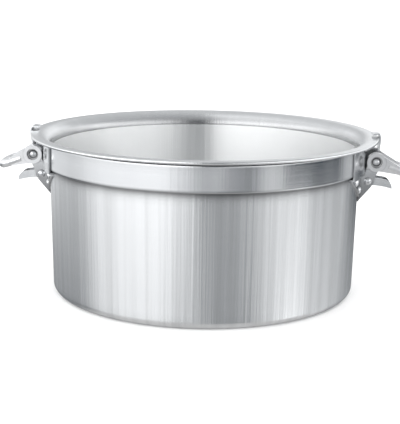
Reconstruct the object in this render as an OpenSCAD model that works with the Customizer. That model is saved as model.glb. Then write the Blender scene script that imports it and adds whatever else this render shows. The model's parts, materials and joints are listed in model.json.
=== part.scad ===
// Catering pot: spun aluminium pot with a bell-mouthed lip, a collar hoop under the lip, and on each side a
// saddle bracket that carries a hinged carrying handle and a sprung lid clamp.
// Millimetres. The origin is the centre of the base's underside, +Z is up, and the handles lie on +X and -X.
// The right side (+X) is modelled, and the left side is the same turned half a turn about Z.
// Side profiles are drawn as [u, z], where u is the distance from the pot's axis in the plane of the handles.

/* [Pot] */
// Height from the base to the top of the lip
pot_h = 205; // [200:1:220]
// Outside diameter of the wall at the mouth
wall_d = 402; // [396:1:410]
// Outside diameter of the wall at the base
base_d = 394; // [386:1:398]
// Thickness of the wall and the lip
wall_t = 3; // [2.5:0.5:3.5]
// Thickness of the base
base_t = 4; // [3:0.5:6]
// Outside radius of the corner between the base and the wall
corner_r = 10; // [8:1:14]

/* [Lip] */
// Inside radius of the bell mouth
mouth_r = 18; // [17:0.5:19]
// Width of the flat between the bell mouth and the bead's centre
lip_flat = 6.6; // [6:0.1:7.2]
// Diameter of the bead along the lip's edge
bead_d = 3.8; // [3.4:0.1:4.4]

/* [Collar] */
// How far the collar's face stands outside the wall at the mouth
collar_gap = 5; // [4.5:0.1:5.5]
// Height of the collar's lower edge above the base
collar_z = 164.5; // [163:0.5:166]
// Thickness of the collar's sheet
collar_t = 2; // [1.5:0.1:2.2]
// Diameter of the hem rolled along the collar's lower edge
hem_d = 4; // [3.6:0.1:4.4]

/* [Bracket] */
// Thickness of the saddle's sheet
saddle_t = 2; // [1.5:0.1:2.2]
// Half of the angle that the saddle covers round the collar
saddle_a = 25; // [22:1:28]
// Thickness of each cheek
cheek_t = 3; // [2.5:0.1:3.5]
// Distance between the inner faces of the two cheeks
cheek_gap = 28; // [27.5:0.1:29]

/* [Handle] */
// Outside radius of the handle's eyes
eye_r = 12; // [11.5:0.1:12.2]
// Thickness of the handle's arms, along the hinge axis
arm_t = 10; // [8:0.5:11]
// Diameter of the grip
grip_d = 11; // [10:0.5:12]
// Reach from the hinge axis to the grip's centre
handle_reach = 44.5; // [43:0.5:50]
// Angle at which the handle rests below level
handle_droop = 20; // [18:1:22]

/* [Clamp] */
// Reach of the thumb lever from its pin to its tip
lever_reach = 33; // [30:0.5:35]
// Angle at which the thumb lever points below level
lever_droop = 8; // [6:1:10]
// Thickness of the hook strap
strap_t = 2.2; // [2:0.1:2.4]
// Width of the hook strap
strap_w = 18; // [14:0.5:18.4]
// Wire diameter of the torsion spring
spring_wire = 1.6; // [1.2:0.1:1.7]

/* [Hidden] */
$fn = 96;

// Pot
wall_r = wall_d / 2;
base_r = base_d / 2;
mouth_u = wall_r - wall_t + mouth_r;          // centre of the bell mouth's arc
mouth_z = pot_h - mouth_r;
bead_r = bead_d / 2;
bead_u = mouth_u + lip_flat;                  // centre of the bead
bead_z = pot_h - bead_r;
lip_r = bead_u + bead_r;
wall_lean = atan((wall_r - base_r) / mouth_z);
function wall_at(z) = base_r + (wall_r - base_r) * z / mouth_z;
floor_r = wall_at(corner_r) - corner_r;       // radius of the flat floor

// Collar
collar_r = wall_r + collar_gap;
hem_r = hem_d / 2;
hem_proud = 0.2;                              // how far the hem stands outside the collar's face
hem_u = collar_r - hem_r + hem_proud;
ledge_h = 2;                                  // height of the collar's inner ledge
ledge_z = mouth_z - 4;
ledge_cut = 2;                                // how far the ledge is drawn into the wall before it is cut
collar_room = 0.4;                            // room between the collar's top edge and the bell mouth

// Saddle bracket
saddle_gap = 0.2;                             // room between the hem and the saddle
saddle_in = collar_r + hem_proud + saddle_gap;
saddle_r = saddle_in + saddle_t;
saddle_top = mouth_z + 10;
step_z = collar_z - 2;                        // top of the saddle's step below the hem
step_low = step_z - saddle_t;
foot_t = 2.5;                                 // thickness of the foot on the wall
foot_top = step_z - 6;                        // where the foot starts to narrow
foot_low = collar_z - 46;                     // lowest point of the foot
foot_w = 76;                                  // half width of the foot at its widest
foot_tip_r = 13;                              // radius of the foot's rounded point
foot_turn = 30;                               // angle at which the foot's edges run into its point
foot_root = step_z - saddle_t / 2;            // where the foot ends inside the step
foot_over = 1;                                // how far the foot's outline and sheet run past each other
rivet_d = 5;
rivet_head_d = 10;
rivet_head_h = 2.6;
rivet_tail_r = 4.5;
rivet_tail_h = 1.6;
rivet_ease = 0.08;                            // room between the flat of a head or tail and the curved wall
rivet_clear = 3;                              // how far the rivet holes' cutters run past the sheets
bracket_rivets = [[58, step_z - 8.5], [-58, step_z - 8.5], [31, step_z - 23], [-31, step_z - 23]];

// Hinge of the handle
pin_gap = 0.03;                               // running clearance of the handle on its pins
handle_pin_r = 4;
hinge_room = 0.6;                             // room between the eyes and the saddle
pin_u = saddle_r + eye_r + hinge_room;
pin_z = collar_z + 10.5;
cheek_in = cheek_gap / 2;
cheek_out = cheek_in + cheek_t;
cheek_r = eye_r - 1;                          // radius of the cheek's boss for the handle's pin
washer_t = 1;
washer_r = 8.5;
side_play = 0.1;
eye_in = cheek_out + washer_t + side_play;
eye_out = eye_in + arm_t;
recess_r = 7.5;                               // recess for the pin's head in each eye
recess_h = 4.2;
pin_head_r = 5.6;
pin_head_h = 3.2;
pin_tail_r = 5.6;
pin_tail_h = 1.8;
grip_r = grip_d / 2;
arm_taper = 28;                               // length over which the arms narrow
grip_turn = 12;                               // centre-line radius of the loop's corners
boss_h = 1.6;                                 // how far the eye's boss stands outside the arm
boss_edge = 1;                                // how much wider the boss is than the arm round it
heel_gap = 0.15;                              // room between the heel and the saddle at rest
heel_drop = 8;                                // height of the heel's corner below the hinge
heel_set = 1.5;                               // how far the heel's two roots lie inside the eye's rim
heel_side = [-2, 1];                          // how far those roots lie along and above the eye's two axes
neck_r = 6;                                   // half width of the cheek's neck at the clamp's pin
neck_flare = 3;                               // how much wider each side of the neck is at the hinge
gusset_rise = 3;                              // height of the gusset's lower corner above the foot's point
gusset_out = [5, -7];                         // the gusset's outer corner, from the clamp's pin
gusset_up = 4;                                // height of the gusset's top above the clamp's pin
gusset_down = 1;                              // how far below the step the gusset meets the wall

// Hinge of the clamp
clamp_u = wall_r + 10.5;
clamp_z = collar_z - 16;
clamp_pin_r = 3.5;
clamp_gap = 0.05;                             // running clearance of the lever on its pin
clamp_head_r = 5.2;
clamp_head_h = 2.4;
lever_r = 8;                                  // radius of the lever round its pin
lever_top = 5;                                // height of the lever's back above its pin
lever_low = -5.5;                             // height of the lever's tip
nose_r = 11;                                  // radius of the lever's rounded nose
hollow_near = 4;                              // where the hollow along the lever's underside begins
hollow_rise = 1;                              // depth of that hollow at its middle
lever_t = 2;                                  // thickness of the lever's sheet
lever_w = 23;                                 // width over the lever's two flanges
lever_in = lever_w / 2 - lever_t;
lever_end = 4;                                // solid length at the lever's tip
web_top = lever_low + hollow_rise + lever_t;  // top of the lever's web, in the lever's frame
tail_ease = 0.25;                             // room between the hollow underside and the rivets' flat tails
web_low = lever_low + hollow_rise - tail_ease;
spacer_r = 6;
spacer_play = 0.1;
strap_gap = 0.6;                              // room between the strap and the bead
strap_u = lip_r + strap_gap + strap_t / 2;    // centre line of the strap beside the lip
hook_r = 3.2;                                 // centre-line radius of the hook's bend
hook_turn = 95;                               // angle of the bend
hook_end = 6.5;                               // length of the straight end beyond the bend
riser_end = 5.8;                              // depth below the lip's top where the riser turns upright
hook_over = 1.9;                              // room between the hook's end and the lip
hook_z = pot_h + hook_over - (hook_r - strap_t / 2) * sin(hook_turn) - hook_end * cos(hook_turn);
riser_u = clamp_u + 8.3;                      // centre line of the strap's lower bend
riser_z = clamp_z - 0.8;
tab_near = 10;                                // where the strap bends up from its tab
tab_far = 24.5;                               // end of the strap's tab along the lever
strap_rivets = [14.6, 21];
strap_rivet_r = 1.6;
strap_head_h = 1.4;
strap_tail_h = 0.8;
flush_tail = 0.01;                            // tail of a rivet half that ends inside the other half

// Torsion spring
coil_r = 5;
coil_turns = 6;
coil_pitch = spring_wire * 1.25;
coil_steps = 16;
spring_sides = 6;
spring_room = 0.6;                            // room round the coil inside the lever
spring_up = [[-0.9, 0, 8], [-0.4, 0, 4]];     // end of the upper leg, from the coil's first point
spring_down = [0.3, 0, -2];                   // end of the lower leg, from the coil's last point

hair = 0.02;                                  // overlap that keeps tangent shapes joined

metal = [0.78, 0.79, 0.80];
bright = [0.86, 0.87, 0.88];
steel = [0.62, 0.63, 0.65];

// Both sides share every shape: the left is the right turned half a turn.
module left() {
    rotate([0, 0, 180]) children();
}

// Raises a side profile drawn in [u, z] into a plate from y0 to y1.
module plate(y0, y1) {
    translate([0, y1, 0]) rotate([90, 0, 0]) linear_extrude(y1 - y0) children();
}

// A round bar along Y at [u, z].
module bar(at, r, y0, y1) {
    translate([at[0], y1, at[1]]) rotate([90, 0, 0]) cylinder(h = y1 - y0, r = r);
}

// Two round bars of radius r1 at c1 and r2 at c2, and the web between their outer tangents, from y0 to y1.
// The web is set in a hair, so that its corners lie inside the bars.
module link(c1, r1, c2, r2, y0, y1) {
    d = c2 - c1;
    a = atan2(d[1], d[0]);
    b = acos((r1 - r2) / norm(d));
    up = [cos(a + b), sin(a + b)];
    down = [cos(a - b), sin(a - b)];
    plate(y0, y1) polygon([
        c1 + (r1 - hair) * up, c2 + (r2 - hair) * up,
        c2 + (r2 - hair) * down, c1 + (r1 - hair) * down
    ]);
    bar(c1, r1, y0, y1);
    bar(c2, r2, y0, y1);
}

// Points of an arc about c from angle a0 to a1 in n steps.
function arc(c, r, a0, a1, n) = [for (i = [0:n]) let (a = a0 + (a1 - a0) * i / n) c + r * [cos(a), sin(a)]];

// A bent strip of thickness w along a path, with mitred bends.
module ribbon(path, w) {
    n = len(path);
    function side(a, b) = [a[1] - b[1], b[0] - a[0]] / norm(b - a);
    function mitre(i) =
        let (before = side(path[max(i - 1, 0)], path[max(i, 1)]))
        let (after = side(path[min(i, n - 2)], path[min(i + 1, n - 1)]))
        (before + after) / (1 + before * after);
    polygon(concat(
        [for (i = [0:n - 1]) path[i] + mitre(i) * w / 2],
        [for (i = [n - 1:-1:0]) path[i] - mitre(i) * w / 2]
    ));
}

// Domed rivet along +X from x = 0: the head's dome outward, the shank of length grip inward, and a flat tail.
module rivet(r, grip, head_r, head_h, tail_r, tail_h) {
    dome = (head_r * head_r + head_h * head_h) / (2 * head_h);
    rotate([0, 90, 0]) rotate_extrude() {
        intersection() {
            translate([0, head_h - dome]) circle(dome, $fn = 180);
            square([head_r, head_h]);
        }
        translate([0, -grip]) square([r, grip]);
        translate([0, -grip - tail_h]) square([tail_r, tail_h]);
    }
}

// ---------------------------------------------------------------- pot

// Everything inside the wall's outer face, as a half profile.
module wall_inside() {
    polygon([[0, 0], [base_r, 0], [wall_r, mouth_z], [0, mouth_z]]);
}

// Rounded corner between the base and the wall.
module corner_profile() {
    inner_r = corner_r - wall_t;
    intersection() {
        difference() {
            translate([floor_r, corner_r]) circle(corner_r);
            translate([floor_r, base_t + inner_r]) circle(inner_r);
        }
        translate([floor_r, 0]) square([2 * corner_r, corner_r]);
    }
}

module wall_profile() {
    polygon([
        [wall_at(corner_r) - wall_t, corner_r], [wall_at(corner_r), corner_r],
        [wall_r, mouth_z], [wall_r - wall_t, mouth_z]
    ]);
}

// Bell mouth, flat lip and the bead along its edge.
module lip_profile() {
    intersection() {
        difference() {
            translate([mouth_u, mouth_z]) circle(mouth_r);
            translate([mouth_u, mouth_z]) circle(mouth_r - wall_t);
        }
        translate([mouth_u - mouth_r, mouth_z]) square(mouth_r);
    }
    translate([mouth_u, pot_h - wall_t]) square([lip_flat, wall_t]);
    translate([bead_u, bead_z]) circle(bead_r, $fn = 48);
}

// Places its children, drawn along +X from the wall's outer face and square to it, at each rivet of the right
// bracket.
module at_bracket_rivets() {
    for (p = bracket_rivets)
        rotate([0, 0, asin(p[0] / wall_at(p[1]))])
            translate([wall_at(p[1]), 0, p[1]])
                rotate([0, wall_lean, 0])
                    children();
}

module rivet_holes() {
    at_bracket_rivets()
        translate([-wall_t - rivet_clear, 0, 0]) rotate([0, 90, 0])
            cylinder(h = wall_t + foot_t + 2 * rivet_clear, d = rivet_d);
}

// The pot is spun from one sheet. It is held as four solids that meet face to face: the flat base, the corner
// round it, the wall and the lip.
module pot_base() {
    color(metal) cylinder(h = base_t, r = floor_r, $fn = 240);
}

module pot_corner() {
    color(metal) rotate_extrude($fn = 240) corner_profile();
}

module pot_wall() {
    color(metal)
    difference() {
        rotate_extrude($fn = 240) wall_profile();
        rivet_holes();
        left() rivet_holes();
    }
}

module pot_lip() {
    color(metal) rotate_extrude($fn = 240) lip_profile();
}

// Hoop under the lip: an inner ledge against the wall, a straight face whose top edge follows the bell mouth,
// and a hem rolled along its lower edge.
module collar_band() {
    color(metal)
    rotate_extrude($fn = 240) difference() {
        union() {
            translate([collar_r - collar_t, collar_z + hem_r]) square([collar_t, pot_h - collar_z - hem_r]);
            translate([wall_r - ledge_cut, ledge_z]) square([collar_gap, ledge_h]);
            translate([hem_u, collar_z + hem_r]) circle(hem_r, $fn = 48);
        }
        wall_inside();
        difference() {
            translate([0, mouth_z]) square([mouth_u, 2 * mouth_r]);
            translate([mouth_u, mouth_z]) circle(mouth_r - wall_t - collar_room);
        }
    }
}

// ---------------------------------------------------------------- saddle bracket

// The saddle's sheet round the collar, with the step below the hem that meets the wall.
module saddle_profile() {
    polygon([
        [wall_at(step_low), step_low], [saddle_r, step_low], [saddle_r, saddle_top],
        [saddle_in, saddle_top], [saddle_in, step_z], [wall_at(step_z), step_z]
    ]);
}

module foot_profile() {
    foot_z = foot_low - foot_over;
    polygon([
        [wall_at(foot_z), foot_z], [wall_at(foot_z) + foot_t, foot_z],
        [wall_at(foot_root) + foot_t, foot_root], [wall_at(foot_root), foot_root]
    ]);
}

// Outline of the foot seen along X: full width under the step, then narrowing to a round point.
module foot_outline() {
    tip = [0, foot_low + foot_tip_r];
    polygon([
        [-foot_w, foot_root + foot_over], [-foot_w, foot_top],
        tip + foot_tip_r * [-sin(foot_turn), -cos(foot_turn)],
        tip + foot_tip_r * [sin(foot_turn), -cos(foot_turn)],
        [foot_w, foot_top], [foot_w, foot_root + foot_over]
    ]);
}

// The cheek on the +Y side: a gusset on the foot, a boss for the clamp's pin, a neck and a boss for the
// handle's pin.
module cheek() {
    clamp = [clamp_u, clamp_z];
    pin = [pin_u, pin_z];
    difference() {
        union() {
            plate(cheek_in, cheek_out) polygon([
                [wall_at(foot_low + gusset_rise), foot_low + gusset_rise], clamp + gusset_out,
                clamp + [0, gusset_up], [wall_at(step_low), step_low - gusset_down]
            ]);
            bar(clamp, lever_r, cheek_in, cheek_out);
            link(clamp, neck_r, pin, neck_r + neck_flare, cheek_in, cheek_out);
            bar(pin, cheek_r, cheek_in, cheek_out);
        }
        plate(cheek_in - 1, cheek_out + 1) polygon([
            [0, 0], [wall_at(0), 0], [wall_at(step_z) + hair, step_z], [saddle_in, step_z],
            [saddle_in, pot_h], [0, pot_h]
        ]);
    }
}

module foot() {
    intersection() {
        rotate([0, 0, -saddle_a]) rotate_extrude(angle = 2 * saddle_a, $fn = 240) foot_profile();
        union() {
            rotate([90, 0, 90]) linear_extrude(2 * wall_r) foot_outline();
            translate([0, 0, foot_low + foot_tip_r]) rotate([0, 90, 0])
                cylinder(h = 2 * wall_r, r = foot_tip_r + hair);
        }
    }
}

module saddle_bracket() {
    color(metal)
    difference() {
        union() {
            rotate([0, 0, -saddle_a]) rotate_extrude(angle = 2 * saddle_a, $fn = 240) saddle_profile();
            foot();
            cheek();
            mirror([0, 1, 0]) cheek();
        }
        rivet_holes();
        bar([pin_u, pin_z], handle_pin_r, -eye_in, eye_in);
        bar([clamp_u, clamp_z], clamp_pin_r, -eye_in, eye_in);
    }
}

module bracket_rivets() {
    color(bright)
    at_bracket_rivets()
        translate([foot_t + rivet_ease, 0, 0])
            rivet(rivet_d / 2, foot_t + wall_t + 2 * rivet_ease, rivet_head_d / 2, rivet_head_h,
                rivet_tail_r, rivet_tail_h);
}

// ---------------------------------------------------------------- handle

// Places its children in the handle's own frame: x along the arms from the hinge axis, at the resting droop.
module at_handle() {
    translate([pin_u, 0, pin_z]) rotate([0, handle_droop, 0]) children();
}

// Side profile of the heel under the eye, which meets the saddle and stops the handle.
module heel_profile() {
    heel_u = saddle_r + heel_gap - pin_u;
    c = cos(handle_droop);
    s = sin(handle_droop);
    corner = [heel_u * c + heel_drop * s, heel_u * s - heel_drop * c];
    polygon([[heel_side[0], heel_set - eye_r], corner, [heel_set - eye_r, heel_side[1]], [0, 0]]);
}

// One arm on the +Y side: its eye and web, a round bar, and the corner up to the middle of the grip.
module half_handle() {
    arm_out = eye_out - boss_h;
    arm_y = (eye_in + arm_out) / 2;
    turn_u = handle_reach - grip_turn;
    difference() {
        union() {
            bar([0, 0], eye_r, eye_in, eye_out);
            link([0, 0], eye_r - boss_edge, [arm_taper, 0], grip_r, eye_in, arm_out);
            plate(eye_in, arm_out) heel_profile();
            translate([arm_taper - grip_d, arm_y, 0]) rotate([0, 90, 0])
                cylinder(h = turn_u - arm_taper + grip_d, r = grip_r);
            translate([turn_u, arm_y - grip_turn, 0])
                rotate_extrude(angle = 90) translate([grip_turn, 0]) circle(grip_r);
            bar([handle_reach, 0], grip_r, 0, arm_y - grip_turn);
        }
        bar([0, 0], handle_pin_r + pin_gap, eye_in - 1, eye_out + 1);
        bar([0, 0], recess_r, eye_out - recess_h, eye_out + 1);
    }
}

module handle() {
    color(metal)
    at_handle() {
        half_handle();
        mirror([0, 1, 0]) half_handle();
    }
}

// Shouldered rivets, one through each eye and cheek.
module handle_pins() {
    color(bright)
    for (s = [-90, 90])
        translate([pin_u, 0, pin_z]) rotate([0, 0, s])
            translate([eye_out - recess_h + side_play, 0, 0])
                rivet(handle_pin_r, eye_out - recess_h + side_play - cheek_in, pin_head_r, pin_head_h,
                    pin_tail_r, pin_tail_h);
}

module ring(at, r_in, r_out, y0, y1) {
    difference() {
        bar(at, r_out, y0, y1);
        bar(at, r_in, y0 - 1, y1 + 1);
    }
}

module handle_washers() {
    color(bright)
    for (s = [0, 1]) mirror([0, s, 0])
        ring([pin_u, pin_z], handle_pin_r, washer_r, cheek_out, cheek_out + washer_t);
}

// ---------------------------------------------------------------- clamp

// Places its children in the lever's own frame: x along the lever's web from the pin.
module at_lever() {
    translate([clamp_u, 0, clamp_z]) rotate([0, lever_droop, 0]) children();
}

// Side profile of the lever: a straight back, a rounded nose down to the tip, and a slight hollow underneath.
module lever_profile() {
    nose = [lever_reach - nose_r, lever_top - nose_r];
    tip_a = asin((lever_low - nose[1]) / nose_r);
    half = (lever_reach - 1 - hollow_near) / 2;
    hollow_r = (half * half + hollow_rise * hollow_rise) / (2 * hollow_rise);
    hollow_c = [hollow_near + half, lever_low + hollow_rise - hollow_r];
    hollow_a = asin(half / hollow_r);
    polygon(concat(
        [[0, lever_low], [0, lever_top]],
        arc(nose, nose_r, 90, tip_a, 14),
        arc(hollow_c, hollow_r, 90 - hollow_a, 90 + hollow_a, 12)
    ));
}

// Folded lever, open at the top: two flanges, a web below them and a closed tip.
module clamp_lever() {
    color(metal)
    at_lever() difference() {
        union() {
            bar([0, 0], lever_r, -lever_w / 2, lever_w / 2);
            plate(-lever_w / 2, lever_w / 2) lever_profile();
        }
        plate(-lever_in, lever_in) translate([-2 * lever_r, web_top])
            square([2 * lever_r + lever_reach - lever_end, 3 * lever_r]);
        bar([0, 0], coil_r + spring_wire / 2 + spring_room, -lever_in, lever_in);
        bar([0, 0], clamp_pin_r + clamp_gap, -lever_w, lever_w);
        for (x = strap_rivets)
            translate([x, 0, -2 * lever_r]) cylinder(h = 2 * lever_r, r = strap_rivet_r);
    }
}

// Strap with a tab on the lever's web, a riser between the cheeks, and a hook over the lip.
module hook_strap() {
    c = cos(lever_droop);
    s = sin(lever_droop);
    tab_z = web_top + strap_t / 2;
    tab = [for (x = [tab_near, tab_far]) [clamp_u + x * c + tab_z * s, clamp_z - x * s + tab_z * c]];
    bend = arc([strap_u - hook_r, hook_z], hook_r, 0, hook_turn, 16);
    path = concat(
        [tab[1], tab[0], [riser_u, riser_z], [strap_u, pot_h - riser_end]],
        bend,
        [bend[len(bend) - 1] + hook_end * [-sin(hook_turn), cos(hook_turn)]]
    );
    color(bright)
    difference() {
        plate(-strap_w / 2, strap_w / 2) ribbon(path, strap_t);
        at_lever() for (x = strap_rivets)
            translate([x, 0, -2 * lever_r]) cylinder(h = 3 * lever_r, r = strap_rivet_r);
    }
}

module strap_rivets() {
    color(bright)
    at_lever() for (x = strap_rivets)
        translate([x, 0, web_top + strap_t]) rotate([0, -90, 0])
            rivet(strap_rivet_r, web_top + strap_t - web_low, 2 * strap_rivet_r, strap_head_h,
                2 * strap_rivet_r, strap_tail_h);
}

module clamp_pin() {
    color(bright)
    translate([clamp_u, 0, clamp_z]) {
        rotate([0, 0, 90]) translate([cheek_out, 0, 0])
            rivet(clamp_pin_r, cheek_out, clamp_head_r, clamp_head_h, clamp_pin_r, flush_tail);
        rotate([0, 0, -90]) translate([cheek_out, 0, 0])
            rivet(clamp_pin_r, cheek_out, clamp_head_r, clamp_head_h, clamp_pin_r, flush_tail);
    }
}

module clamp_spacers() {
    color(steel)
    for (s = [0, 1]) mirror([0, s, 0])
        ring([clamp_u, clamp_z], clamp_pin_r, spacer_r, lever_w / 2 + spacer_play, cheek_in);
}

// Sweeps a round wire of radius r along a path that never runs parallel to Y.
module wire(path, r) {
    n = len(path);
    m = spring_sides;
    function unit(v) = v / norm(v);
    rings = [for (i = [0:n - 1])
        let (t = unit(path[min(i + 1, n - 1)] - path[max(i - 1, 0)]))
        let (a = unit(cross(t, [0, 1, 0])))
        let (b = cross(a, t))
        for (k = [0:m - 1])
            path[i] + r * (cos(360 * k / m) * a + sin(360 * k / m) * b)];
    faces = concat(
        [[for (k = [0:m - 1]) k]],
        [for (i = [0:n - 2]) for (k = [0:m - 1])
            [i * m + k, (i + 1) * m + k, (i + 1) * m + (k + 1) % m, i * m + (k + 1) % m]],
        [[for (k = [m - 1:-1:0]) (n - 1) * m + k]]
    );
    polyhedron(rings, faces);
}

// Torsion spring on the clamp's pin: one leg up against the saddle's foot, one leg forward on the lever's web.
module clamp_spring() {
    half = coil_turns * coil_pitch / 2;
    start = 180;
    coil = [for (i = [0:coil_turns * coil_steps])
        let (a = start + 360 * i / coil_steps)
        [coil_r * cos(a), coil_pitch * i / coil_steps - half, coil_r * sin(a)]];
    first = coil[0];
    last = coil[len(coil) - 1];
    color(steel)
    translate([clamp_u, 0, clamp_z])
        wire(concat(
            [for (p = spring_up) first + p],
            coil,
            [last + spring_down]
        ), spring_wire / 2);
}

pot_base();
pot_corner();
pot_wall();
pot_lip();
collar_band();
saddle_bracket();  // saddle_bracket_right
bracket_rivets();  // bracket_rivets_right
handle();  // handle_right
handle_pins();  // handle_pins_right
handle_washers();  // handle_washers_right
clamp_lever();  // clamp_lever_right
hook_strap();  // hook_strap_right
strap_rivets();  // strap_rivets_right
clamp_pin();  // clamp_pin_right
clamp_spacers();  // clamp_spacers_right
clamp_spring();  // clamp_spring_right
left() saddle_bracket();  // saddle_bracket_left
left() bracket_rivets();  // bracket_rivets_left
left() handle();  // handle_left
left() handle_pins();  // handle_pins_left
left() handle_washers();  // handle_washers_left
left() clamp_lever();  // clamp_lever_left
left() hook_strap();  // hook_strap_left
left() strap_rivets();  // strap_rivets_left
left() clamp_pin();  // clamp_pin_left
left() clamp_spacers();  // clamp_spacers_left
left() clamp_spring();  // clamp_spring_left
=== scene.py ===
import json
import math

import bmesh
import bpy
from mathutils import Matrix, Vector


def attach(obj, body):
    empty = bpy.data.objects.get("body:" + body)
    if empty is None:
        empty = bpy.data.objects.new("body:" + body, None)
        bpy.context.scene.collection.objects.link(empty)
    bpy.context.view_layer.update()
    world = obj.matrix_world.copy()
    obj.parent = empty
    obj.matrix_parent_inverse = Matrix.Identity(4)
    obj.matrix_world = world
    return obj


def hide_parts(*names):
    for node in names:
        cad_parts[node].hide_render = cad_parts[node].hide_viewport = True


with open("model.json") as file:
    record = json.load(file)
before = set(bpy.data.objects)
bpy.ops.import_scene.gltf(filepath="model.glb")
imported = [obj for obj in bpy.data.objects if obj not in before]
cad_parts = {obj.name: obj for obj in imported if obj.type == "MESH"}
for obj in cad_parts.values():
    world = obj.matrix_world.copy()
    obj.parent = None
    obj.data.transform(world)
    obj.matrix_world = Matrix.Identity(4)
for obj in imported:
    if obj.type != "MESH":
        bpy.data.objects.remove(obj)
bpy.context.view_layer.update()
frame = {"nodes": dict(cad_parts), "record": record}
scene = bpy.context.scene

MM = 0.001                  # profiles and heights are written in millimetres
SIDES = ("right", "left")


# ------------------------------------------------------------------ shader nodes

def new_material(name):
    mat = bpy.data.materials.new(name)
    mat.use_nodes = True
    nt = mat.node_tree
    return mat, nt, nt.nodes["Principled BSDF"]


def node(nt, kind, **values):
    n = nt.nodes.new(kind)
    for key, value in values.items():
        setattr(n, key, value)
    return n


def math_node(nt, op, a, b=None, clamp=False):
    """One Math node. a and b are numbers or outputs."""
    n = node(nt, "ShaderNodeMath", operation=op, use_clamp=clamp)
    for i, v in enumerate((a, b)):
        if v is None:
            continue
        if isinstance(v, (int, float)):
            n.inputs[i].default_value = v
        else:
            nt.links.new(v, n.inputs[i])
    return n.outputs[0]


def ramp(nt, source, stops):
    """Colour ramp. stops are (position, grey or colour)."""
    n = node(nt, "ShaderNodeValToRGB")
    nt.links.new(source, n.inputs[0])
    elements = n.color_ramp.elements
    while len(elements) < len(stops):
        elements.new(0.5)
    for element, (position, colour) in zip(elements, stops):
        element.position = position
        if isinstance(colour, (int, float)):
            colour = (colour, colour, colour)
        element.color = (*colour, 1)
    return n.outputs[0]


def noise(nt, vector, scale, detail=3, rough=0.5, distort=0.0):
    n = node(nt, "ShaderNodeTexNoise")
    n.inputs["Scale"].default_value = scale
    n.inputs["Detail"].default_value = detail
    n.inputs["Roughness"].default_value = rough
    n.inputs["Distortion"].default_value = distort
    nt.links.new(vector, n.inputs["Vector"])
    return n.outputs["Fac"]


def object_position(nt):
    """The position on the object, as a vector and as x, y and z."""
    vector = node(nt, "ShaderNodeTexCoord").outputs["Object"]
    parts = node(nt, "ShaderNodeSeparateXYZ")
    nt.links.new(vector, parts.inputs[0])
    return vector, parts.outputs


def flattened(nt, vector):
    """vector without its height, so that a noise on it makes upright streaks."""
    n = node(nt, "ShaderNodeMapping")
    n.inputs["Scale"].default_value = (1, 1, 0)
    nt.links.new(vector, n.inputs["Vector"])
    return n.outputs[0]


def cylindrical(nt, around, along):
    """Vector for marks left by turning: the direction round the Z axis times around, and the way
    along the profile times along."""
    _, (x, y, z) = object_position(nt)
    squares = math_node(nt, "ADD", math_node(nt, "MULTIPLY", x, x), math_node(nt, "MULTIPLY", y, y))
    radius = math_node(nt, "SQRT", squares)
    parts = (
        math_node(nt, "MULTIPLY", math_node(nt, "DIVIDE", x, radius), around),
        math_node(nt, "MULTIPLY", math_node(nt, "DIVIDE", y, radius), around),
        math_node(nt, "MULTIPLY", math_node(nt, "ADD", z, radius), along),
    )
    joined = node(nt, "ShaderNodeCombineXYZ")
    for part, socket in zip(parts, joined.inputs):
        nt.links.new(part, socket)
    return joined.outputs[0]


def colour_mix(nt, **values):
    """A colour Mix node with its two colour inputs and its output."""
    n = node(nt, "ShaderNodeMix", data_type="RGBA", **values)
    return n, n.inputs[6], n.inputs[7], n.outputs[2]


def mix_colour(nt, factor, a, b):
    n, first, second, out = colour_mix(nt)
    nt.links.new(factor, n.inputs["Factor"])
    first.default_value = (*a, 1)
    second.default_value = (*b, 1)
    return out


def multiplied(nt, a, b):
    n, first, second, out = colour_mix(nt, blend_type="MULTIPLY")
    n.inputs["Factor"].default_value = 1.0
    nt.links.new(a, first)
    nt.links.new(b, second)
    return out


def bump(nt, bsdf, heights):
    """Chain of bumps: each is (height, strength, distance)."""
    normal = None
    for height, strength, distance in heights:
        b = node(nt, "ShaderNodeBump")
        b.inputs["Strength"].default_value = strength
        b.inputs["Distance"].default_value = distance
        nt.links.new(height, b.inputs["Height"])
        if normal is not None:
            nt.links.new(normal, b.inputs["Normal"])
        normal = b.outputs[0]
    nt.links.new(normal, bsdf.inputs["Normal"])


def uneven_roughness(nt, bsdf, rough, first, second):
    """Roughness that strays from rough with two noises, each given as (noise, its span)."""
    total = math_node(nt, "ADD", math_node(nt, "MULTIPLY", *first),
                      math_node(nt, "MULTIPLY", *second))
    mean = (first[1] + second[1]) / 2
    nt.links.new(math_node(nt, "ADD", total, rough - mean, clamp=True), bsdf.inputs["Roughness"])


def painted_shade(nt, colour, stops, reach):
    """Painted shade: darkens colour by height, standing in for shadow under overhangs and in
    hollows.
    stops are (height, brightness), and a noise round the axis moves them up and down by up to
    reach.
    Heights and reach are in millimetres."""
    pos, (_, _, z) = object_position(nt)
    wander = math_node(nt, "SUBTRACT", noise(nt, flattened(nt, pos), 14.0, 4, 0.6), 0.5)
    z = math_node(nt, "ADD", z, math_node(nt, "MULTIPLY", wander, 2 * reach * MM))
    low, high = stops[0][0], stops[-1][0]
    share = math_node(nt, "DIVIDE", math_node(nt, "SUBTRACT", z, low * MM), (high - low) * MM,
                      clamp=True)
    shade = ramp(nt, share, [((h - low) / (high - low), v) for h, v in stops])
    return multiplied(nt, colour, shade)


# ------------------------------------------------------------------ materials

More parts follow.
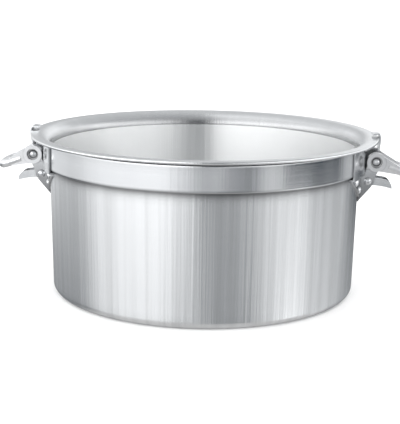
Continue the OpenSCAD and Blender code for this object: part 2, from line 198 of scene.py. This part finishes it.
def turned_aluminium(name, colour, dull, rough, aniso, spin=0.1, flute=0.2, broad=34.0,
                     streaks=0.0, shade=None):
    """Spun and polished aluminium with faint dull patches. spin is the strength of the turning
    lines, and flute that of a shallow fluting that streaks the reflections, finer as broad grows.
    streaks darkens it in upright streaks. shade holds the stops and reach of its painted shade, a
    darkening by height that stands in for shadow."""
    mat, nt, bsdf = new_material(name)
    bsdf.inputs["Metallic"].default_value = 1.0
    bsdf.inputs["Anisotropic"].default_value = aniso
    bsdf.inputs["Anisotropic Rotation"].default_value = 0.25
    tangent = node(nt, "ShaderNodeTangent", direction_type="RADIAL", axis="Z")
    nt.links.new(tangent.outputs[0], bsdf.inputs["Tangent"])
    pos, _ = object_position(nt)
    patches = noise(nt, pos, 9.0, 4, 0.6)
    lines = noise(nt, cylindrical(nt, 0.6, 900.0), 1.0, 4, 0.7)
    flutes = noise(nt, cylindrical(nt, broad, 1.0), 1.0, 4, 0.65)
    base = mix_colour(nt, ramp(nt, patches, [(0.35, 0.0), (0.75, 1.0)]), colour, dull)
    if streaks:
        around = noise(nt, cylindrical(nt, 17.0, 0.8), 1.0, 4, 0.6)
        base = multiplied(nt, base, ramp(nt, around, [(0.32, 1.0 - streaks), (0.62, 1.0)]))
    # painted shade: darker bands by height stand in for the shadow under the collar and lip and in
    # the bell mouth
    if shade:
        base = painted_shade(nt, base, *shade)
    nt.links.new(base, bsdf.inputs["Base Color"])
    uneven_roughness(nt, bsdf, rough, (lines, 0.05), (patches, 0.08))
    bump(nt, bsdf, [(flutes, flute, 0.002)] + ([(lines, spin, 0.0002)] if spin else []))
    return mat


CREVICE = 0.005                             # how far, in metres, the painted corner shade reaches from a corner
CREVICE_STOPS = [(0.20, 0.22), (0.85, 1.0)]     # how open a place is, and its brightness


def brushed(name, colour, dull, rough, scale, scratch=0.25, dent=0.0008, shade=None):
    """Tumbled or brushed metal: fine scratches, small dents, and painted shade that darkens its
    corners and recesses. scale is the scratches', and dent the depth of the dents in metres. shade
    is as for turned metal."""
    mat, nt, bsdf = new_material(name)
    bsdf.inputs["Metallic"].default_value = 1.0
    pos, _ = object_position(nt)
    scratches = noise(nt, pos, scale, 5, 0.7, 0.3)
    patches = noise(nt, pos, 60.0, 3, 0.55)
    base = mix_colour(nt, ramp(nt, patches, [(0.3, 0.0), (0.8, 1.0)]), colour, dull)
    # painted shade by height, such as down the bracket's foot, standing in for its shadow
    if shade:
        base = painted_shade(nt, base, *shade)
    # painted shade: the colour darkens in corners, recesses and gaps between parts, standing in for
    # the shadow there
    corners = node(nt, "ShaderNodeAmbientOcclusion", samples=8)
    corners.inputs["Distance"].default_value = CREVICE
    base = multiplied(nt, base, ramp(nt, corners.outputs["AO"], CREVICE_STOPS))
    nt.links.new(base, bsdf.inputs["Base Color"])
    uneven_roughness(nt, bsdf, rough, (scratches, 0.16), (patches, 0.10))
    bump(nt, bsdf, [(patches, scratch * 0.5, dent), (scratches, scratch, 0.0001)])
    return mat


# Painted shade, as heights in millimetres and brightness: the wall darkens at the floor, under the
# collar and behind it, the lip in its bell mouth, the bracket down its foot, and the collar under
# its hem and near the lip, standing in for the shadow in each place.
WALL_SHADE = [(0, 0.85), (3, 1.0), (147, 1.0), (153, 0.93), (157, 0.78), (160, 0.54), (163, 0.28),
              (182, 0.28), (187, 0.6)]
LIP_SHADE = [(186, 0.45), (192, 0.56), (199, 1.0)]
FOOT_SHADE = [(118, 0.42), (142, 0.52), (153, 0.72), (165, 0.92), (190, 0.86)]
COLLAR_SHADE = [(164, 0.30), (166, 0.68), (169, 1.0), (184, 1.0), (191, 0.95), (199, 0.82)]

MATS = {
    "spun_aluminium": turned_aluminium(
        "spun aluminium", (0.90, 0.91, 0.92), (0.84, 0.85, 0.86), rough=0.25, aniso=0.85,
        spin=0.0, flute=0.28, broad=20.0, streaks=0.14, shade=(WALL_SHADE, 1.5)),
    # the lip's copy of the metal is painted darker than the wall's, standing in for its dimmer
    # reflection, and carries painted shade in its bell mouth
    "spun_lip_painted_darker": turned_aluminium(
        "spun aluminium, lip", (0.82, 0.83, 0.84), (0.77, 0.78, 0.79), rough=0.25, aniso=0.85,
        spin=0.0, flute=0.10, streaks=0.04, shade=(LIP_SHADE, 0.5)),
    "spun_inside": turned_aluminium(
        "spun aluminium, inside", (0.95, 0.955, 0.955), (0.91, 0.92, 0.92), rough=0.36, aniso=1.0,
        flute=0.15),
    "band_aluminium": turned_aluminium(
        "band aluminium", (0.90, 0.91, 0.92), (0.83, 0.84, 0.86), rough=0.14, aniso=0.6,
        flute=0.12, shade=(COLLAR_SHADE, 1.2)),
    "bracket_aluminium": brushed(
        "bracket aluminium", (0.88, 0.89, 0.90), (0.74, 0.75, 0.77), rough=0.20, scale=900,
        scratch=0.12, dent=0.0001, shade=(FOOT_SHADE, 2.0)),
    "cast_aluminium": brushed(
        "cast aluminium", (0.92, 0.92, 0.93), (0.78, 0.79, 0.80), rough=0.33, scale=700,
        scratch=0.4),
    "rivet_aluminium": brushed(
        "rivet aluminium", (0.88, 0.89, 0.90), (0.76, 0.77, 0.78), rough=0.34, scale=1200),
    "clamp_steel": brushed(
        "clamp steel", (0.88, 0.89, 0.90), (0.72, 0.73, 0.75), rough=0.20, scale=900),
    "pin_steel": brushed(
        "pin steel", (0.80, 0.81, 0.82), (0.62, 0.63, 0.65), rough=0.34, scale=1200),
    "spring_steel": brushed(
        "spring steel", (0.50, 0.51, 0.53), (0.34, 0.34, 0.36), rough=0.30, scale=1500),
}


# ------------------------------------------------------------------ CAD nodes

# Width in millimetres by which the edges of each part's nodes are rounded
EDGES = {
    "saddle_bracket": 0.5, "bracket_rivets": 0.3, "handle": 0.9, "handle_pins": 0.3,
    "handle_washers": 0.25, "clamp_lever": 0.4, "hook_strap": 0.4, "strap_rivets": 0.2,
    "clamp_pin": 0.3, "clamp_spacers": 0.2,
}
EDGE_STEPS = 3
EDGE_ANGLE = math.radians(35)               # edges sharper than this are rounded
WELD_WITHIN = 2e-6                          # metres

slot_of = {part["node"]: part["material_slot"] for part in frame["record"]["subparts"]}


def finish_node(name):
    """Gives a CAD node the material of its slot and smooth shading."""
    obj = frame["nodes"][name]
    obj.data.materials.clear()
    obj.data.materials.append(MATS[slot_of[name]])
    for poly in obj.data.polygons:
        poly.use_smooth = True
    return obj


def round_edges(obj, width):
    """Joins an object's faces and rounds its edges by width, in millimetres."""
    weld = obj.modifiers.new("weld", "WELD")
    weld.merge_threshold = WELD_WITHIN
    bevel = obj.modifiers.new("bevel", "BEVEL")
    bevel.width = width * MM
    bevel.segments = EDGE_STEPS
    bevel.limit_method = "ANGLE"
    bevel.angle_limit = EDGE_ANGLE
    bevel.use_clamp_overlap = True
    normals = obj.modifiers.new("normals", "WEIGHTED_NORMAL")
    normals.keep_sharp = False
    normals.weight = 80


for side in SIDES:
    for part, edge_width in EDGES.items():
        round_edges(finish_node(f"{part}_{side}"), edge_width)
    finish_node(f"clamp_spring_{side}")


# ------------------------------------------------------------------ turned pieces

TURN_STEPS = 360
NEAR = 1e-6                                 # millimetres: points this close are one point


def arc(centre, radius, start, end, steps):
    """Points of an arc in the half plane (distance from the axis, height), in millimetres, between
    two angles in degrees."""
    points = []
    for i in range(steps + 1):
        a = math.radians(start + (end - start) * i / steps)
        points.append((centre[0] + radius * math.cos(a), centre[1] + radius * math.sin(a)))
    return points


def divide(start, end, parts):
    """Points of a straight line in that half plane."""
    return [tuple(Vector(start).lerp(Vector(end), i / parts)) for i in range(parts + 1)]


def same_point(p, q):
    return (Vector(p) - Vector(q)).length < NEAR


def lathe(name, runs, materials):
    """Turns a closed profile about Z. runs is a list of (points, material index), each of which
    starts where the last one ended."""
    loop, index = [], []
    for points, material in runs:
        for p in points:
            if not loop or not same_point(p, loop[-1]):
                loop.append(p)
                index.append(material)
    if same_point(loop[0], loop[-1]):
        loop.pop()
        index.pop()
    bm = bmesh.new()
    turns = [2 * math.pi * i / TURN_STEPS for i in range(TURN_STEPS)]
    rings = []
    for r, z in loop:
        if r < NEAR:
            rings.append([bm.verts.new((0, 0, z * MM))] * TURN_STEPS)
        else:
            rings.append([bm.verts.new((r * MM * math.cos(a), r * MM * math.sin(a), z * MM))
                          for a in turns])
    for k, lower in enumerate(rings):
        after = (k + 1) % len(rings)
        upper = rings[after]
        if loop[k][0] < NEAR and loop[after][0] < NEAR:
            continue
        for i in range(TURN_STEPS):
            j = (i + 1) % TURN_STEPS
            corners = dict.fromkeys((lower[i], lower[j], upper[j], upper[i]))
            face = bm.faces.new(list(corners))
            face.smooth = True
            face.material_index = index[after]
    bmesh.ops.recalc_face_normals(bm, faces=bm.faces[:])
    mesh = bpy.data.meshes.new(name)
    bm.to_mesh(mesh)
    bm.free()
    for material in materials:
        mesh.materials.append(material)
    obj = bpy.data.objects.new(name, mesh)
    scene.collection.objects.link(obj)
    return obj


# The pot, in millimetres: the wall's outer radius is BASE_R at the floor and WALL_R at the mouth,
# where the bell mouth of radius MOUTH_R starts. The flat lip ends in a rolled bead.
POT_H, WALL_R, BASE_R, WALL_T, BASE_T = 205, 201, 197, 3, 4
MOUTH_R, LIP_FLAT, BEAD_R, CORNER_R = 18, 6.6, 1.9, 10
MOUTH_Z = POT_H - MOUTH_R
MOUTH_U = WALL_R - WALL_T + MOUTH_R
BEAD = (MOUTH_U + LIP_FLAT, POT_H - BEAD_R)


def wall_at(z):
    """The wall's outer radius at height z."""
    return BASE_R + (WALL_R - BASE_R) * z / MOUTH_Z


def make_pot():
    """The whole pot as one skin: base, corner, wall, lip with its bead, and inside."""
    outside, inside, lip = 0, 1, 2
    inner_r = CORNER_R - WALL_T
    outer_c = (wall_at(CORNER_R) - CORNER_R, CORNER_R)
    inner_c = (wall_at(CORNER_R) - WALL_T - inner_r, BASE_T + inner_r)
    lip_low = POT_H - WALL_T
    mouth_c = (MOUTH_U, MOUTH_Z)
    bead_reach = math.sqrt(BEAD_R ** 2 - (lip_low - BEAD[1]) ** 2)
    bead_under = math.degrees(math.asin((lip_low - BEAD[1]) / BEAD_R))
    runs = [
        (divide((0, 0), (outer_c[0], 0), 12), inside),
        (arc(outer_c, CORNER_R, -90, 0, 12), outside),
        (divide((wall_at(CORNER_R), CORNER_R), (WALL_R, MOUTH_Z), 24), outside),
        (arc(mouth_c, MOUTH_R - WALL_T, 180, 90, 16), lip),
        ([(BEAD[0] - bead_reach, lip_low)], lip),
        (arc(BEAD, BEAD_R, 180 - bead_under, 450, 28), lip),
        (arc(mouth_c, MOUTH_R, 90, 180, 20), lip),
        (divide((WALL_R - WALL_T, MOUTH_Z), (inner_c[0] + inner_r, inner_c[1]), 24), inside),
        (arc(inner_c, inner_r, 0, -90, 10), inside),
        (divide((inner_c[0], BASE_T), (0, BASE_T), 12), inside),
    ]
    pot = lathe("pot_spun", runs, [MATS["spun_aluminium"], MATS["spun_inside"], MATS["spun_lip_painted_darker"]])
    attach(pot, "pot")
    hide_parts("pot_base", "pot_corner", "pot_wall", "pot_lip")


def make_collar():
    """Hoop under the lip: its lower edge rolls inward, its top edge follows the bell mouth, and an
    inner ledge meets the wall."""
    face, inner, low = 206, 204, 164.5
    hem_r, edge, room = 2.4, 0.4, 0.5
    ledge_low, ledge_top = 183, 185
    hem = (face - hem_r, low + hem_r)
    under_r = MOUTH_R - WALL_T - room
    near, far = (MOUTH_Z + math.sqrt(under_r ** 2 - (MOUTH_U - r) ** 2) for r in (inner, face))
    top = far - 3 * edge
    runs = [
        (arc(hem, hem_r, 180, 360, 24), 0),
        (divide((face, hem[1] + edge), (face, top), 12), 0),
        (arc((face - edge, top), edge, 0, 110, 5), 0),
        ([(inner, near - edge), (inner, ledge_top), (wall_at(ledge_top), ledge_top),
          (wall_at(ledge_low), ledge_low), (inner, ledge_low), (inner, hem[1] + hem_r),
          (hem[0] - hem_r, hem[1])], 0),
    ]
    collar = lathe("collar_rolled", runs, [MATS["band_aluminium"]])
    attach(collar, "pot")
    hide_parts("collar_band")


make_pot()
make_collar()


# ------------------------------------------------------------------ floor, light and camera

FLOOR_R = 30
FLOOR_DROP = 0.0002                         # so that the floor and the base don't share a plane


def make_floor():
    bpy.ops.mesh.primitive_circle_add(
        vertices=96, radius=FLOOR_R, fill_type="NGON", location=(0, 0, -FLOOR_DROP))
    floor = bpy.context.object
    floor.name = "floor"
    mat, _, bsdf = new_material("pale floor")
    bsdf.inputs["Base Color"].default_value = (0.93, 0.93, 0.93, 1)
    bsdf.inputs["Roughness"].default_value = 0.9
    bsdf.inputs["Specular IOR Level"].default_value = 0.1
    floor.data.materials.append(mat)
    floor.visible_glossy = False


# The studio that the metal reflects, as soft panels in rows from the floor up. Each row has stops
# of (degrees from -Y towards +X, radiance).
TABLE_ROW = [
    (-180, .24), (-150, .24), (-128, .22), (-105, .15), (-92, .29), (-80, .62), (-60, .74),
    (-45, .76), (-30, .73), (-21, .63), (-16, .42), (-9, .48), (-3, .50), (8, .34), (14, .20),
    (26, .22), (36, .24), (44, .48), (52, .55), (66, .96), (76, 1.42), (84, 1.04), (97, .64),
    (115, .82), (128, .50), (145, .34), (180, .26),
]
LOW_ROW = [
    (-180, .30), (-174, .62), (-150, .80), (-125, .82), (-100, .80), (-85, .96), (-70, 1.06),
    (-30, 1.12), (-20, 1.1), (-15, .85), (-9, .85), (-3, .54), (4, .50), (12, .70), (20, .46),
    (30, .30), (37, .23), (43, .50), (51, .62), (57, .45), (65, .14), (74, .03), (92, .02),
    (100, .14), (111, .05), (120, .42), (128, .52), (140, .16), (150, .08), (172, .08), (180, .30),
]
HIGH_ROW = [
    (-180, .80), (-172, .50), (-150, 1.0), (-124, 1.2), (-103, 1.8), (-86, 2.6), (-50, 3.1),
    (-30, 3.2), (-20, 3.1), (-13, 3.0), (-7, 2.2), (-2, 1.1), (3, .18), (11, .03), (16, .38),
    (24, 1.2), (35, 1.9), (56, 2.3), (78, 2.3), (94, 2.3), (113, 1.7), (137, 1.15), (172, 1.0),
    (180, .80),
]
TOP_ROW = [
    (-180, .62), (-140, .72), (-90, .92), (-30, .98), (-12, .80), (0, .50), (20, .42), (60, .44),
    (110, .50), (150, .58), (180, .62),
]
# The rows and the soft edge under each: two elevations in degrees
ROWS = [
    ((-48, -32), TABLE_ROW), ((-13.5, -11.5), LOW_ROW), ((-3, 3), HIGH_ROW), ((20, 32), TOP_ROW),
]
NADIR = 0.58                                # radiance under the lowest row
SOFT_LIGHT = 1.6                            # even radiance that lights what isn't a reflection


def cool(v):
    """A grey of radiance v, a little blue where it is dark."""
    return (max(v - 0.011, 0.0), v, v + 0.012)


def panel_light(nt, direction):
    """The rows' colour in each direction."""
    x, y, z = direction
    turn = math_node(nt, "ARCTAN2", x, math_node(nt, "MULTIPLY", y, -1.0))
    around = math_node(nt, "ADD", math_node(nt, "DIVIDE", turn, 2 * math.pi), 0.5)
    height = math_node(nt, "ADD", math_node(nt, "MULTIPLY", z, 0.5), 0.5)
    light = None
    for edge, row in ROWS:
        low, high = ((math.sin(math.radians(e)) + 1) / 2 for e in edge)
        n, below, above, out = colour_mix(nt)
        nt.links.new(ramp(nt, height, [(low, 0.0), (high, 1.0)]), n.inputs["Factor"])
        if light is None:
            below.default_value = (NADIR, NADIR, NADIR, 1)
        else:
            nt.links.new(light, below)
        nt.links.new(ramp(nt, around, [((a + 180) / 360, cool(v)) for a, v in row]), above)
        light = out
    return light


def make_world():
    """Reflections see the panels, and everything else is lit by an even soft light."""
    world = bpy.data.worlds.new("studio")
    scene.world = world
    world.use_nodes = True
    nt = world.node_tree
    nt.nodes.clear()
    direction = node(nt, "ShaderNodeSeparateXYZ")
    nt.links.new(node(nt, "ShaderNodeTexCoord").outputs["Generated"], direction.inputs[0])
    panels = node(nt, "ShaderNodeBackground")
    nt.links.new(panel_light(nt, direction.outputs), panels.inputs["Color"])
    soft = node(nt, "ShaderNodeBackground")
    soft.inputs["Color"].default_value = (SOFT_LIGHT, SOFT_LIGHT, SOFT_LIGHT, 1)
    pick = node(nt, "ShaderNodeMixShader")
    nt.links.new(node(nt, "ShaderNodeLightPath").outputs["Is Glossy Ray"], pick.inputs[0])
    nt.links.new(soft.outputs[0], pick.inputs[1])
    nt.links.new(panels.outputs[0], pick.inputs[2])
    out = node(nt, "ShaderNodeOutputWorld")
    nt.links.new(pick.outputs[0], out.inputs["Surface"])


# The camera's place round the pot and its aim: metres and degrees
CAMERA_AZIMUTH, CAMERA_DISTANCE, CAMERA_HEIGHT = 2.8, 1.4718, 0.4246
CAMERA_PITCH, CAMERA_YAW, CAMERA_ROLL = 12.49, -0.18, 0.85
SENSOR = 36
FOCAL_PIXELS, LONG_SIDE = 1141.6, 424


def make_camera():
    azimuth = math.radians(CAMERA_AZIMUTH)
    pitch, roll = math.radians(CAMERA_PITCH), math.radians(CAMERA_ROLL)
    heading = math.radians(CAMERA_YAW) - azimuth
    forward = Vector((math.sin(heading) * math.cos(pitch), math.cos(heading) * math.cos(pitch),
                      -math.sin(pitch)))
    level = Vector((math.cos(heading), -math.sin(heading), 0))
    upright = level.cross(forward)
    right = math.cos(roll) * level + math.sin(roll) * upright
    up = -math.sin(roll) * level + math.cos(roll) * upright
    turn = Matrix((right, up, -forward)).transposed()
    place = Matrix.Translation((CAMERA_DISTANCE * math.sin(azimuth),
                                -CAMERA_DISTANCE * math.cos(azimuth), CAMERA_HEIGHT))
    data = bpy.data.cameras.new("camera")
    data.sensor_width = SENSOR
    data.sensor_fit = "AUTO"
    data.lens = FOCAL_PIXELS / LONG_SIDE * SENSOR
    cam = bpy.data.objects.new("camera", data)
    cam.matrix_world = place @ turn.to_4x4()
    scene.collection.objects.link(cam)
    scene.camera = cam


make_floor()
make_world()
make_camera()
scene.view_settings.view_transform = "Standard"
